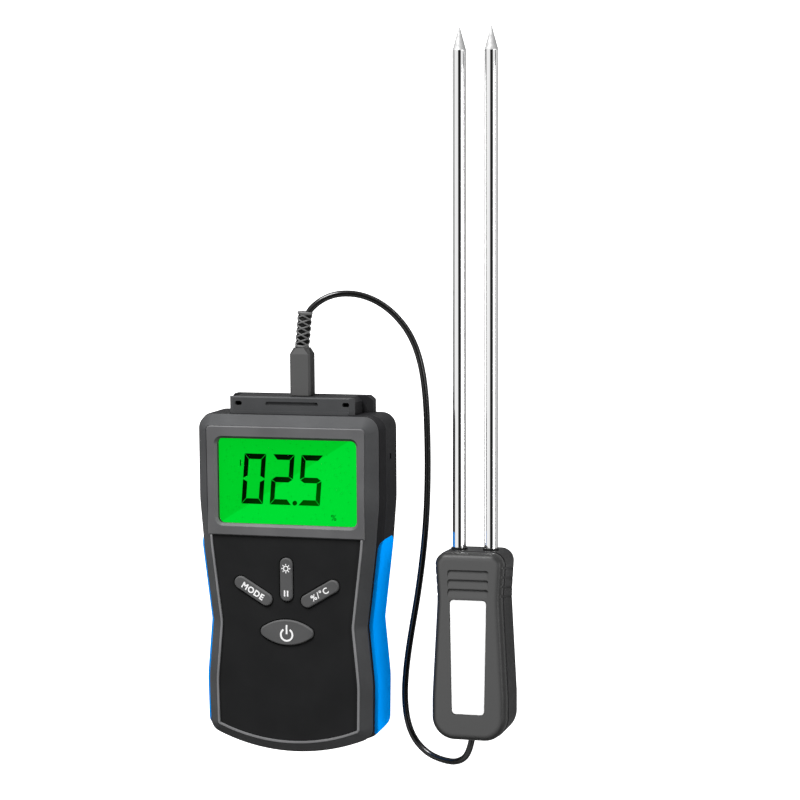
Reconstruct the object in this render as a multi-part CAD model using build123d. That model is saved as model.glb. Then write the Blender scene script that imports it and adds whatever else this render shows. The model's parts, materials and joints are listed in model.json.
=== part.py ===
from build123d import *
import os
from math import asin, atan2, cos, degrees, hypot, pi, radians, sin, tan

# Grain moisture meter lying on its back: +Z out of the face, +Y towards the plug, +X to the reader's right.
# The origin is the centre of the flat back of the meter. All sizes are millimetres.

# Casing, seen from the front (half widths from the middle line, heights along Y)
TOP_Y = 76.7
SHOULDER_HALF, SHOULDER_Y = 44.2, 36.0
CHEST_HALF, CHEST_Y = 42.4, 13.5
WAIST_HALF, WAIST_Y = 38.15, -22.5
HIP_HALF, HIP_Y = 40.7, -50.0
FOOT_HALF, FOOT_Y = 40.25, -75.2
BOTTOM_Y = -84.5
TOP_CORNER, FOOT_CORNER, WAIST_BEND, SIDE_BEND = 7.0, 6.8, 8.0, 60.0
# The back half stands out a little further than the front half, mostly at the sides
BACK_WIDER, BACK_LONGER = 1.9, 0.4

# Casing, through its thickness
BACK_ROUND = 4.0
WALL = 3.2
FLOOR_Z = 2.2
PARTING_Z = 27.0
BACK_STEP_Z, BACK_STEP_DROP = 26.8, 4.6
REVEAL, REVEAL_DEPTH = 0.8, 0.5
LIP_Z = 33.7
BAND_WIDTH, BAND_DROP = 5.0, 4.5
PLATE_LOW, PLATE_TOP = 29.8, 32.0

# Face: bezel above, keypad panel below
BEZEL_TOP_Z = 34.0
BEZEL_LOW_Y = 19.6
BEZEL_TOP_HALF, BEZEL_LOW_HALF, BEZEL_CORNER = 39.0, 38.6, 2.0
LIP_WIDTH, LIP_TOP_Z = 1.1, 33.9
FACE_GAP = 0.1
PANEL_TOP_Z = 33.0
WINDOW_WIDTH, WINDOW_HEIGHT, WINDOW_X, WINDOW_Y, WINDOW_CORNER = 68.6, 40.5, 0.4, 45.45, 2.8
WINDOW_BEVEL = 1.2
LENS_MARGIN, LENS_THICK, LENS_DROP = 2.0, 1.2, 0.2

# Keys
KEY_TRAVEL = 0.8
KEY_TOP_Z = 33.95
FLANGE_LOW_Z, FLANGE_TOP_Z, FLANGE_WIDTH = 28.6, 29.6, 1.0
KEY_PLATE_GAP, KEY_PANEL_GAP = 0.35, 0.55
PILL_LENGTH, PILL_WIDTH = 20.8, 6.2
SIDE_KEY_X, SIDE_KEY_Y, SIDE_KEY_ANGLE = 16.5, -6.8, 31.0
LIGHT_KEY_Y = -0.7
POWER_KEY_Y, POWER_HALF_WIDTH, POWER_HALF_HEIGHT, POWER_TIP = -26.0, 14.6, 6.1, 2.8
SIDE_KEYS = {"mode_key": (-SIDE_KEY_X, -SIDE_KEY_ANGLE), "range_key": (SIDE_KEY_X, SIDE_KEY_ANGLE)}

# Circuit board and display
BOARD_LOW_Z, BOARD_THICK, BOARD_INSET = 23.6, 1.6, 7.0
BOARD_LOW_Y, BOARD_HIGH_Y = -60.0, 66.0
BOARD_TOP_Z = BOARD_LOW_Z + BOARD_THICK
DISPLAY_WIDTH, DISPLAY_HEIGHT, DISPLAY_LOW_Z, DISPLAY_THICK = 72.0, 42.2, 27.5, 2.0
BOARD_SCREWS = [(-34.0, 15.0), (34.0, 15.0), (-30.0, -52.0), (30.0, -52.0)]
CASE_SCREWS = [(-35.0, 70.0), (35.0, 70.0), (-31.0, -66.0), (31.0, -66.0)]
POST_RADIUS, BOSS_RADIUS, BOSS_TOP_Z = 3.25, 4.25, 14.0
BOARD_SCREW_RADIUS, BOARD_SCREW_TIP_Z = 1.1, 28.6
CASE_SCREW_RADIUS, CASE_SCREW_TIP_Z = 1.45, 23.0
CASE_HEAD_RADIUS, CASE_HEAD_LOW_Z, CASE_SEAT_Z = 2.8, 2.3, 4.6
WIRE_DIAMETER = 1.2

# Port block and jack
PORT_HALF, PORT_TOP_Y, PORT_LOW_Z, PORT_PLATE_Z, PORT_FRONT_Z = 31.0, 84.7, 1.0, 21.6, 24.0
PORT_FOOT_HALF, PORT_FOOT_Z = 35.5, 9.0
PORT_WALL = 2.5
PORT_CHAMFER, PORT_END_SLANT = 2.2, 2.3
PORT_SLOT_X, PORT_SLOT_Y = 0.5, 81.6
JACK_X, JACK_Z = 2.5, 12.8
JACK_RADIUS, JACK_RUNNING_GAP = 1.75, 0.05
COLLAR_RADIUS = 3.6
JACK_BODY_Y = (66.0, PORT_TOP_Y - PORT_WALL)
JACK_TIP_Y = 71.0
TAG_HEIGHTS = (JACK_Z - 3.2, JACK_Z, JACK_Z + 3.2)
TAG_END_Y = 62.6
SOCKET_WIRE_X, SOCKET_WIRE_Y = 4.2, 56.5
SIDE_SLOT_Y, SIDE_SLOT_Z, SIDE_SLOT_SIZE, SIDE_SLOT_DEPTH = 56.9, 14.1, 2.6, 1.6

# Side grips
GRIP_LOW_Z, GRIP_HIGH_Z, GRIP_LOW_Y, GRIP_HIGH_Y = 4.0, 26.0, -75.6, 18.0
GRIP_DEPTH, GRIP_PROUD, GRIP_CLEAR, GRIP_CORNER = 1.6, 0.1, 2.0, 5.0

# Battery and its cover
BATTERY_SIZE = (26.5, 48.5, 17.5)
BATTERY_LOW_Y, BATTERY_LOW_Z = -70.5, 2.3
BAY_HALF, BAY_LOW_Y, BAY_HIGH_Y, BAY_TOP_Z, BAY_WALL = 14.0, -71.3, -15.4, 20.1, 1.4
COVER_HALF, COVER_THICK, COVER_HIGH_Y, TONGUE, TONGUE_LOW_Z = 19.0, 2.0, -13.0, 2.0, 1.0
COVER_PAD_TOP_Z = 3.6
TERMINAL_X, TERMINAL_HEIGHT = 6.35, 2.2
SNAP_PLATE_Y = BATTERY_LOW_Y + BATTERY_SIZE[1] + 2.5

# Plug and its strain relief
PLUG_WIDTH, PLUG_DEPTH, PLUG_EDGE = 10.2, 8.6, 0.9
PLUG_BASE_Y, PLUG_SHOULDER_Y, PLUG_TOP_Y = 85.0, 104.6, 107.6
PLUG_NECK_WIDTH, PLUG_NECK_DEPTH, PLUG_NECK_EDGE = 7.6, 7.2, 2.0
BOOT_LEAN, BOOT_LENGTH, BOOT_RADIUS = 5.8, 17.2, 3.25
BOOT_FOOT_RADIUS, BOOT_FOOT_LENGTH = 3.5, 2.6
BOOT_CAP_RADIUS, BOOT_CAP_LENGTH, BOOT_SLOTS = 3.75, 2.4, 6

# Lead: its route from the handle's grommet to the strain relief, by its corners
LEAD_DIAMETER = 3.1
LEAD_ROUTE = [
    (86.2, -75.0, 18.5), (84.7, -83.4, 18.0), (78.0, -89.0, 13.8), (69.3, -90.0, 8.3),
    (60.6, -88.3, 4.0), (53.7, -82.5, 2.0), (50.0, -73.5, 1.7), (48.8, -61.0, 1.7),
    (49.8, -47.0, 1.7), (52.2, -31.0, 1.7), (55.6, -12.5, 1.7), (58.3, 6.5, 1.7),
    (60.2, 25.5, 1.7), (61.0, 46.0, 1.7), (60.9, 66.0, 1.7), (60.3, 84.0, 1.7),
    (58.1, 100.0, 1.7), (53.4, 113.0, 1.7), (46.0, 122.8, 2.3), (37.8, 129.4, 4.4),
    (28.6, 133.1, 7.6), (18.8, 133.2, 10.6), (10.6, 129.6, 12.2), (4.1, 122.9, 12.8),
    (3.2, 113.9, 12.8),
]

# Probe handle, in its own frame: origin at the top of its back, +Y along the electrodes, +Z out of its front
HANDLE_TOP_HALF, HANDLE_WAIST_HALF, HANDLE_WAIST_Y, HANDLE_LOW_HALF = 16.8, 15.4, -22.0, 17.9
HANDLE_HIP_Y, HANDLE_LENGTH = -68.0, 88.0
HANDLE_TOP_CORNER, HANDLE_LOW_CORNER, HANDLE_BEND = 6.0, 11.0, 60.0
HANDLE_ROUND = 5.0
TUB_TOP_Z, COVER_LOW_Z, HANDLE_FRONT_Z, COVER_ROUND = 23.6, 24.2, 30.0, 3.4
TUB_WALL, TUB_EDGE, COVER_INSET, SEAM_INSET = 2.4, 0.8, 0.25, 1.1
SPIGOT_INSET, SPIGOT_WALL, SPIGOT_LOW_Z = 2.7, 1.5, 21.8
SIDE_GROOVE_SLANT, SIDE_GROOVE_WIDTH = 8.3, 1.1
RIB_PITCH, RIB_WIDTH, RIB_DEPTH = 4.4, 19.4, 0.9
LABEL_TOP_Y, LABEL_LENGTH, LABEL_TOP_WIDTH, LABEL_LOW_WIDTH = -22.0, 53.2, 17.2, 15.2
LABEL_DROP, LABEL_THICK, LABEL_CORNER = 0.6, 0.4, 1.8
HANDLE_SCREWS = [(0.0, -46.0), (-9.2, -68.0), (9.2, -68.0)]
HANDLE_SCREW_TIP_Z = 22.0

# Electrodes
ROD_RADIUS, ROD_SPACING, ROD_Z = 3.25, 15.2, 14.5
SHANK_RADIUS, SHANK_END_Y, ROD_COLLAR_RADIUS, ROD_COLLAR = 3.0, 1.2, 3.9, 0.7
ROD_INNER_Y, ROD_REACH, ROD_POINT, ROD_TIP_RADIUS = -31.0, 232.0, 11.0, 0.25
BLOCK_HALF, BLOCK_LOW_Y, BLOCK_HIGH_Y, BLOCK_HIGH_Z = 12.0, -29.0, -3.4, 19.9
LUG_THICK, LUG_TAIL_Z, LUG_BORE = 0.6, 8.2, 1.5

# Where the lead enters the handle
GROMMET_X, GROMMET_RADIUS, GROMMET_COLLAR = -1.5, 3.4, 1.2
TAIL_INNER_Y = -73.0

# The heavy electrodes tip the probe, so it rests on the top of its back and on the two cones' rims
REST_DROP = ROD_Z - HANDLE_ROUND - ROD_RADIUS
REST_SPAN = ROD_REACH + HANDLE_ROUND
PROBE_TILT = atan2(REST_DROP, REST_SPAN) + asin(HANDLE_ROUND / hypot(REST_SPAN, REST_DROP))
PROBE_LIFT = HANDLE_ROUND * (1 - sin(PROBE_TILT) - cos(PROBE_TILT))
PROBE_TURN = 0.46
PROBE_X, PROBE_Y = 87.0, 13.4
PROBE_PLACE = Pos(PROBE_X, PROBE_Y, PROBE_LIFT) * Rot(0, 0, PROBE_TURN) * Rot(-degrees(PROBE_TILT), 0, 0)


# ---------------------------------------------------------------- shape helpers

def slab(outline, low, high):
    """Solid of a flat outline between two heights."""
    return extrude(Pos(0, 0, low) * outline, high - low)


def block(x, y, z):
    """Box between pairs of limits along X, Y and Z."""
    centre = [(pair[0] + pair[1]) / 2 for pair in (x, y, z)]
    return Pos(*centre) * Box(x[1] - x[0], y[1] - y[0], z[1] - z[0])


def post(x, y, radius, low, high):
    """Upright round post."""
    return Pos(x, y, (low + high) / 2) * Cylinder(radius, high - low)


def rod(x, z, radius, low, high):
    """Round rod along Y."""
    return Pos(x, (low + high) / 2, z) * Rot(-90, 0, 0) * Cylinder(radius, high - low)


def group(solids):
    """Separate solids kept under one name."""
    return Compound(children=list(solids))


def rounded(outline, corners):
    """Outline with its named corners rounded, each given as (x, y, radius)."""
    for x, y, radius in corners:
        corner = outline.vertices().sort_by_distance((x, y, 0))[0]
        outline = fillet(corner, radius)
    return outline


def mirrored_outline(right, top_closed_by):
    """Closed outline from the corners of its right side, top to bottom, joined below by a given edge."""
    left = [(-x, y) for x, y in reversed(right)]
    sides = Polyline(*right) + Polyline(*left)
    return make_face(sides + Line(left[-1], right[0]) + top_closed_by)


def both_sides(corners):
    """Corners on the right, and the same ones on the left."""
    return [(side * x, y, radius) for x, y, radius in corners for side in (1, -1)]


def tube(points, diameter, radii):
    """Round tube along straight runs joined by tangent arcs."""
    path = FilletPolyline(*points, radius=radii)
    section = Plane(origin=path @ 0, z_dir=path % 0) * Circle(diameter / 2)
    return sweep(section, path=path)


# ---------------------------------------------------------------- casing

def casing_outline(inset=0.0, wider=0.0, longer=0.0):
    """Front view of the casing, made wider and longer first, then drawn in all round by an inset."""
    right = [
        (SHOULDER_HALF + wider, TOP_Y), (SHOULDER_HALF + wider, SHOULDER_Y), (CHEST_HALF + wider, CHEST_Y),
        (WAIST_HALF + wider, WAIST_Y), (HIP_HALF + wider, HIP_Y), (FOOT_HALF + wider, FOOT_Y),
    ]
    foot = right[-1]
    foot_arc = ThreePointArc(foot, (0, BOTTOM_Y - longer), (-foot[0], foot[1]))
    radii = [TOP_CORNER, SIDE_BEND, SIDE_BEND, WAIST_BEND, SIDE_BEND, FOOT_CORNER]
    corners = both_sides([(x, y, radius) for (x, y), radius in zip(right, radii)])
    outline = rounded(mirrored_outline(right, foot_arc), corners)
    if inset:
        outline = offset(outline, -inset, kind=Kind.INTERSECTION)
    return outline


def back_outline(inset=0.0):
    return casing_outline(inset, BACK_WIDER, BACK_LONGER)


def face_region(inset, low_y, high_y):
    """Part of the casing's outline, drawn in, between two heights."""
    strip = Pos(0, (low_y + high_y) / 2) * Rectangle(4 * SHOULDER_HALF, high_y - low_y)
    return casing_outline(inset) & strip


def window_shape(grow=0.0):
    shape = RectangleRounded(WINDOW_WIDTH + 2 * grow, WINDOW_HEIGHT + 2 * grow, WINDOW_CORNER)
    return Pos(WINDOW_X, WINDOW_Y) * shape


def bezel_shape(grow=0.0):
    """Front view of the bezel: nearly straight sides, rounded upper corners."""
    top, low = BEZEL_TOP_HALF + grow, BEZEL_LOW_HALF + grow
    high_y, low_y = TOP_Y - BAND_WIDTH + grow, BEZEL_LOW_Y
    outline = make_face(Polyline((-top, high_y), (top, high_y), (low, low_y), (-low, low_y), (-top, high_y)))
    return rounded(outline, both_sides([(top, high_y, BEZEL_CORNER + grow)]))


def power_shape(grow=0.0):
    """Lens of two arcs with rounded tips."""
    upper = ThreePointArc((-POWER_HALF_WIDTH, 0), (0, POWER_HALF_HEIGHT), (POWER_HALF_WIDTH, 0))
    lower = ThreePointArc((POWER_HALF_WIDTH, 0), (0, -POWER_HALF_HEIGHT), (-POWER_HALF_WIDTH, 0))
    lens = make_face(upper + lower)
    lens = rounded(lens, both_sides([(POWER_HALF_WIDTH, 0, POWER_TIP)]))
    if grow:
        lens = offset(lens, grow)
    return Pos(0, POWER_KEY_Y) * lens


def pill_shape(x, y, angle, grow=0.0):
    pill = SlotOverall(PILL_LENGTH + 2 * grow, PILL_WIDTH + 2 * grow)
    return Pos(x, y) * Rot(0, 0, angle) * pill


def key_shapes(grow=0.0):
    """Front view of each key, grown all round for its opening."""
    shapes = {name: pill_shape(x, SIDE_KEY_Y, angle, grow) for name, (x, angle) in SIDE_KEYS.items()}
    shapes["light_key"] = pill_shape(0, LIGHT_KEY_Y, 90, grow)
    shapes["power_key"] = power_shape(grow)
    return shapes


def front_shell():
    body = slab(casing_outline(), PARTING_Z + REVEAL, LIP_Z)
    top_face = body.faces().sort_by(Axis.Z)[-1]
    body = chamfer(top_face.outer_wire().edges(), BAND_WIDTH, BAND_DROP, reference=top_face)
    body += slab(casing_outline(REVEAL_DEPTH), PARTING_Z, PARTING_Z + REVEAL)
    body -= slab(casing_outline(WALL), PARTING_Z, PLATE_LOW)
    body -= slab(bezel_shape(FACE_GAP), PLATE_TOP, LIP_Z + 1)
    body -= slab(face_region(BAND_WIDTH - FACE_GAP, BOTTOM_Y, BEZEL_LOW_Y + 1), PLATE_TOP, LIP_Z + 1)
    for x, y in CASE_SCREWS:
        body += post(x, y, POST_RADIUS, BOSS_TOP_Z + 0.1, PLATE_LOW + 0.5)
        body -= post(x, y, CASE_SCREW_RADIUS, BOSS_TOP_Z, CASE_SCREW_TIP_Z + 1)
    for x, y in BOARD_SCREWS:
        body += post(x, y, 2.6, BOARD_TOP_Z, PLATE_LOW + 0.5)
        body -= post(x, y, BOARD_SCREW_RADIUS, BOARD_TOP_Z, BOARD_SCREW_TIP_Z + 0.4)
    lens_low = PLATE_TOP - LENS_DROP - LENS_THICK
    body -= slab(window_shape(0.2), PLATE_LOW, PLATE_TOP)
    body -= slab(window_shape(LENS_MARGIN + FACE_GAP), lens_low, PLATE_TOP)
    for shape in key_shapes(KEY_PLATE_GAP).values():
        body -= slab(shape, PLATE_LOW, PLATE_TOP)
    return body


def port_block():
    """Outside of the block that holds the jack, at the top end of the back shell, on a wider foot."""
    upper = block((-PORT_HALF, PORT_HALF), (TOP_Y - 6, PORT_TOP_Y), (PORT_LOW_Z + 4, PORT_PLATE_Z))
    upper = chamfer(upper.edges().filter_by(Axis.Z).group_by(Axis.Y)[-1], PORT_CHAMFER)
    foot = block((-PORT_FOOT_HALF, PORT_FOOT_HALF), (TOP_Y - 6, PORT_TOP_Y), (PORT_LOW_Z, PORT_FOOT_Z))
    foot = chamfer(foot.edges().filter_by(Axis.Z).group_by(Axis.Y)[-1], PORT_CHAMFER)
    foot = chamfer(foot.faces().sort_by(Axis.Z)[-1].edges().filter_by(Axis.Y), 2.5)
    foot = fillet(foot.faces().sort_by(Axis.Z)[0].edges().group_by(Axis.Y)[-1], 2.0)
    return upper + foot


def back_outside():
    """Wider part of the back shell, without its walls or openings."""
    body = slab(back_outline(), 0, BACK_STEP_Z)
    top_face = body.faces().sort_by(Axis.Z)[-1]
    body = chamfer(top_face.outer_wire().edges(), BACK_WIDER, BACK_STEP_DROP, reference=top_face)
    return fillet(body.faces().sort_by(Axis.Z)[0].outer_wire().edges(), BACK_ROUND)


def back_shell():
    body = back_outside() + slab(casing_outline(), BACK_STEP_Z - BACK_STEP_DROP - 1, PARTING_Z)
    body += port_block()
    body -= slab(back_outline(WALL), FLOOR_Z, BACK_STEP_Z - BACK_STEP_DROP - 2)
    body -= slab(casing_outline(WALL), BACK_STEP_Z - BACK_STEP_DROP - 2, PARTING_Z)
    room_half, room_top_y = PORT_HALF - PORT_WALL - 1, PORT_TOP_Y - PORT_WALL
    body -= block((-room_half, room_half), (TOP_Y - 6, room_top_y), (PORT_LOW_Z + PORT_WALL, PORT_PLATE_Z))
    body -= rod(JACK_X, JACK_Z, COLLAR_RADIUS, room_top_y, PORT_TOP_Y)
    body -= grip_band(GRIP_CLEAR)
    body += battery_bay(body)
    body -= cover_channel()
    opening = block((-BAY_HALF, BAY_HALF), (BAY_LOW_Y, BAY_HIGH_Y), (0, BAY_TOP_Z))
    body -= opening
    body -= block((-6, 6), (BAY_HIGH_Y - 1, BAY_HIGH_Y + BAY_WALL + 1), (8.5, 13.5))
    for x, y in CASE_SCREWS:
        body += post(x, y, BOSS_RADIUS, FLOOR_Z - 1, BOSS_TOP_Z) & slab(casing_outline(1.0), 0, PARTING_Z)
        body -= post(x, y, CASE_HEAD_RADIUS + 0.2, 0, CASE_SEAT_Z)
        body -= post(x, y, CASE_SCREW_RADIUS + 0.15, CASE_SEAT_Z, BOSS_TOP_Z)
    reach = SIDE_SLOT_SIZE / 2
    slot_y, slot_z = (SIDE_SLOT_Y - reach, SIDE_SLOT_Y + reach), (SIDE_SLOT_Z - reach, SIDE_SLOT_Z + reach)
    side = SHOULDER_HALF + BACK_WIDER
    return body - block((side - SIDE_SLOT_DEPTH, side + 1), slot_y, slot_z)


def battery_bay(shell):
    """Thick floor that carries the cover, and the walls and roof round the battery."""
    inside = slab(casing_outline(WALL - 0.2), 0.5, PARTING_Z)
    pad = block((-COVER_HALF - 5, COVER_HALF + 5), (BOTTOM_Y, COVER_HIGH_Y + 3), (0.5, COVER_PAD_TOP_Z))
    walls_x = (-BAY_HALF - BAY_WALL, BAY_HALF + BAY_WALL)
    walls_y = (BAY_LOW_Y - BAY_WALL, BAY_HIGH_Y + BAY_WALL)
    walls = block(walls_x, walls_y, (1.5, BAY_TOP_Z + BAY_WALL))
    return (pad + walls) & inside


def cover_channel():
    """Room for the battery cover and its two tongues, open at the bottom end."""
    gap = 0.3
    along = (BOTTOM_Y - 1, COVER_HIGH_Y + gap)
    roof = COVER_THICK + 0.15
    side = COVER_HALF + gap
    plate = block((-side, side), along, (-1, roof))
    return plate + block((-side - TONGUE, side + TONGUE), along, (TONGUE_LOW_Z - 0.15, roof))


def battery_cover():
    low_y = BOTTOM_Y - BACK_LONGER
    plate = block((-COVER_HALF, COVER_HALF), (low_y, COVER_HIGH_Y), (0, COVER_THICK))
    side = COVER_HALF + TONGUE
    plate += block((-side, side), (low_y, COVER_HIGH_Y), (TONGUE_LOW_Z, COVER_THICK))
    plate &= back_outside()
    for step in range(5):
        groove_y = -66.0 + 2.4 * step
        plate -= block((-9, 9), (groove_y, groove_y + 1.1), (-1, 0.5))
    return plate


def grip_band(proud):
    """Band along both sides of the casing that stands out from it by a distance."""
    band = back_outline(-proud) - back_outline(GRIP_DEPTH)
    length, height = GRIP_HIGH_Y - GRIP_LOW_Y, GRIP_HIGH_Z - GRIP_LOW_Z
    side_view = Plane.YZ * Pos(GRIP_LOW_Y + length / 2, GRIP_LOW_Z + height / 2)
    side_view *= RectangleRounded(length, height, GRIP_CORNER)
    return slab(band, GRIP_LOW_Z, GRIP_HIGH_Z) & Pos(-60, 0, 0) * extrude(side_view, 120)


def grip(side):
    """Rubber grip on one side: -1 left, +1 right."""
    both = grip_band(GRIP_PROUD)
    half = block((0, 60), (-90, 90), (0, PARTING_Z))
    if side < 0:
        half = block((-60, 0), (-90, 90), (0, PARTING_Z))
    return both & half


# ---------------------------------------------------------------- face pieces

def display_bezel():
    plate = slab(bezel_shape(), PLATE_TOP, BEZEL_TOP_Z)
    edges = plate.faces().sort_by(Axis.Z)[-1].outer_wire().edges()
    plate = chamfer(edges, 0.5)
    plate -= slab(window_shape(), PLATE_TOP, BEZEL_TOP_Z)
    rim = plate.faces().sort_by(Axis.Z)[-1].inner_wires()[0].edges()
    return chamfer(rim, WINDOW_BEVEL)


def window_lens():
    low = PLATE_TOP - LENS_DROP - LENS_THICK
    return slab(window_shape(LENS_MARGIN), low, low + LENS_THICK)


def keypad_lip():
    """Raised lip round the sides and the bottom of the keypad panel."""
    outside = face_region(BAND_WIDTH, BOTTOM_Y, BEZEL_LOW_Y - FACE_GAP)
    lip = slab(outside, PLATE_TOP, LIP_TOP_Z)
    lip = chamfer(lip.faces().sort_by(Axis.Z)[-1].outer_wire().edges(), 0.35)
    return lip - slab(face_region(BAND_WIDTH + LIP_WIDTH, BOTTOM_Y, BEZEL_LOW_Y + 1), PLATE_TOP, LIP_TOP_Z)


def keypad_panel():
    inset = BAND_WIDTH + LIP_WIDTH + FACE_GAP
    panel = slab(face_region(inset, BOTTOM_Y, BEZEL_LOW_Y - FACE_GAP), PLATE_TOP, PANEL_TOP_Z)
    for shape in key_shapes(KEY_PANEL_GAP).values():
        panel -= slab(shape, PLATE_TOP, PANEL_TOP_Z)
    return panel


def key(name):
    """Key cap with a flange under the face that keeps it in."""
    shape = key_shapes()[name]
    cap = slab(shape, FLANGE_LOW_Z, KEY_TOP_Z)
    cap = fillet(cap.faces().sort_by(Axis.Z)[-1].outer_wire().edges(), 0.7)
    return cap + slab(key_shapes(FLANGE_WIDTH)[name], FLANGE_LOW_Z, FLANGE_TOP_Z)


# ---------------------------------------------------------------- electronics

def display_panel():
    glass = Pos(WINDOW_X, WINDOW_Y) * Rectangle(DISPLAY_WIDTH, DISPLAY_HEIGHT)
    return slab(glass, DISPLAY_LOW_Z, DISPLAY_LOW_Z + DISPLAY_THICK)


def display_backlight():
    plate = Pos(WINDOW_X, WINDOW_Y) * Rectangle(66, 37.4)
    return slab(plate, BOARD_TOP_Z, DISPLAY_LOW_Z - 0.1)


def contact_strips():
    """Rubber strips that join the display's two long edges to the board."""
    reach = DISPLAY_HEIGHT / 2 - 1.2
    rows = (WINDOW_Y - reach, WINDOW_Y + reach)
    return group(block((-30, 30), (y - 1, y + 1), (BOARD_TOP_Z, DISPLAY_LOW_Z)) for y in rows)


def main_board():
    board = slab(face_region(BOARD_INSET, BOARD_LOW_Y, BOARD_HIGH_Y), BOARD_LOW_Z, BOARD_TOP_Z)
    for x, y in BOARD_SCREWS:
        board -= post(x, y, BOARD_SCREW_RADIUS + 0.1, BOARD_LOW_Z, BOARD_TOP_Z)
    return board


def key_centres():
    centres = [(x, SIDE_KEY_Y) for x, angle in SIDE_KEYS.values()]
    return centres + [(0, LIGHT_KEY_Y), (0, POWER_KEY_Y)]


def tact_switches():
    """One low push switch on the board under each key."""
    plunger_top = FLANGE_LOW_Z - KEY_TRAVEL - 0.1
    solids = []
    for x, y in key_centres():
        body = block((x - 3, x + 3), (y - 3, y + 3), (BOARD_TOP_Z, BOARD_TOP_Z + 1.7))
        solids.append(body + post(x, y, 1.7, BOARD_TOP_Z, plunger_top))
    return group(solids)


def controller_chip():
    low = BOARD_LOW_Z - 1.5
    body = block((-6, 6), (30, 42), (low, BOARD_LOW_Z - 0.2))
    for step in range(8):
        along = -4.9 + 1.4 * step
        body += block((-7.4, 7.4), (36 + along - 0.25, 36 + along + 0.25), (BOARD_LOW_Z - 0.4, BOARD_LOW_Z))
    return body


def board_components():
    """Capacitors, a crystal, a coil and small packages on the board's inner side."""
    def below(x, y, length, width, height):
        return block((x - length / 2, x + length / 2), (y - width / 2, y + width / 2),
                     (BOARD_LOW_Z - height, BOARD_LOW_Z))
    solids = [below(x, 50, 3.2, 1.6, 1.2) for x in (-24, -18, -12, 12, 18, 24)]
    solids += [below(-20, y, 5.0, 4.0, 1.6) for y in (20, 30, 40)]
    solids += [below(20, 32, 11.0, 4.6, 3.6)]
    solids += [post(x, 22, 3.2, BOARD_LOW_Z - 7.5, BOARD_LOW_Z) for x in (14, 24)]
    solids += [below(x, 4, 2.0, 1.2, 0.8) for x in (-12, -6, 6, 12)]
    return group(solids)


def screw(x, y, head_radius, head_low, seat, radius, tip):
    """Pan head screw pointing up, with a cross recess in its head."""
    body = post(x, y, head_radius, head_low, seat) + post(x, y, radius, seat, tip)
    for size in ((head_radius, 0.7), (0.7, head_radius)):
        body -= block((x - size[0] / 2, x + size[0] / 2), (y - size[1] / 2, y + size[1] / 2),
                      (head_low - 1, head_low + 0.9))
    return body


def board_screws():
    return group(
        screw(x, y, 2.3, BOARD_LOW_Z - 1.6, BOARD_LOW_Z, BOARD_SCREW_RADIUS, BOARD_SCREW_TIP_Z)
        for x, y in BOARD_SCREWS
    )


def case_screws():
    return group(
        screw(x, y, CASE_HEAD_RADIUS, CASE_HEAD_LOW_Z, CASE_SEAT_Z, CASE_SCREW_RADIUS, CASE_SCREW_TIP_Z)
        for x, y in CASE_SCREWS
    )


# ---------------------------------------------------------------- battery

def battery():
    width, length, height = BATTERY_SIZE
    top_y = BATTERY_LOW_Y + length
    can = block((-width / 2, width / 2), (BATTERY_LOW_Y, top_y), (BATTERY_LOW_Z, BATTERY_LOW_Z + height))
    can = fillet(can.edges().filter_by(Axis.Y), 2.0)
    middle = BATTERY_LOW_Z + height / 2
    can += rod(-TERMINAL_X, middle, 2.9, top_y, top_y + TERMINAL_HEIGHT)
    return can + rod(TERMINAL_X, middle, 3.9, top_y, top_y + TERMINAL_HEIGHT)


def battery_snap():
    """Snap plate with a cup over each terminal."""
    middle = BATTERY_LOW_Z + BATTERY_SIZE[2] / 2
    plate = block((-13, 13), (SNAP_PLATE_Y, SNAP_PLATE_Y + 1.6), (middle - 6, middle + 6))
    plate = fillet(plate.edges().filter_by(Axis.Y), 4.0)
    for x, cup, bore in ((-TERMINAL_X, 4.2, 3.0), (TERMINAL_X, 4.9, 4.0)):
        low = BATTERY_LOW_Y + BATTERY_SIZE[1] + 0.1
        plate += rod(x, middle, cup, low, SNAP_PLATE_Y)
        plate -= rod(x, middle, bore, low, SNAP_PLATE_Y - 0.1)
    return plate


def battery_leads():
    start = SNAP_PLATE_Y + 1.6
    return group(
        tube([(x, start, 11), (x, -5, 11), (x, -5, BOARD_LOW_Z)], 1.3, [4.5]) for x in (-3.0, 3.0)
    )


# ---------------------------------------------------------------- port and jack

def port_plate():
    """Front cover of the port block: slanted ends, a raised foot, a blind slot and two oval holes."""
    foot_y = TOP_Y + 0.05
    plate = block((-PORT_HALF, PORT_HALF), (foot_y, PORT_TOP_Y), (PORT_PLATE_Z, PORT_FRONT_Z))
    ends = plate.faces().sort_by(Axis.Z)[-1].edges().filter_by(Axis.Y)
    plate = chamfer(ends, PORT_END_SLANT)
    plate = fillet(plate.faces().sort_by(Axis.Z)[-1].edges().group_by(Axis.Y)[-1], 0.6)
    foot_half = PORT_HALF - PORT_END_SLANT
    plate += block((-foot_half, foot_half), (foot_y, foot_y + 1.3), (PORT_PLATE_Z, PORT_FRONT_Z + 0.6))
    plate -= slab(Pos(PORT_SLOT_X, PORT_SLOT_Y) * SlotOverall(26.0, 1.8), PORT_FRONT_Z - 0.9, PORT_FRONT_Z)
    for x in (PORT_SLOT_X - 26.6, PORT_SLOT_X + 26.6):
        plate -= slab(Pos(x, PORT_SLOT_Y) * SlotOverall(3.6, 2.1), PORT_PLATE_Z, PORT_FRONT_Z)
    return plate


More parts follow.
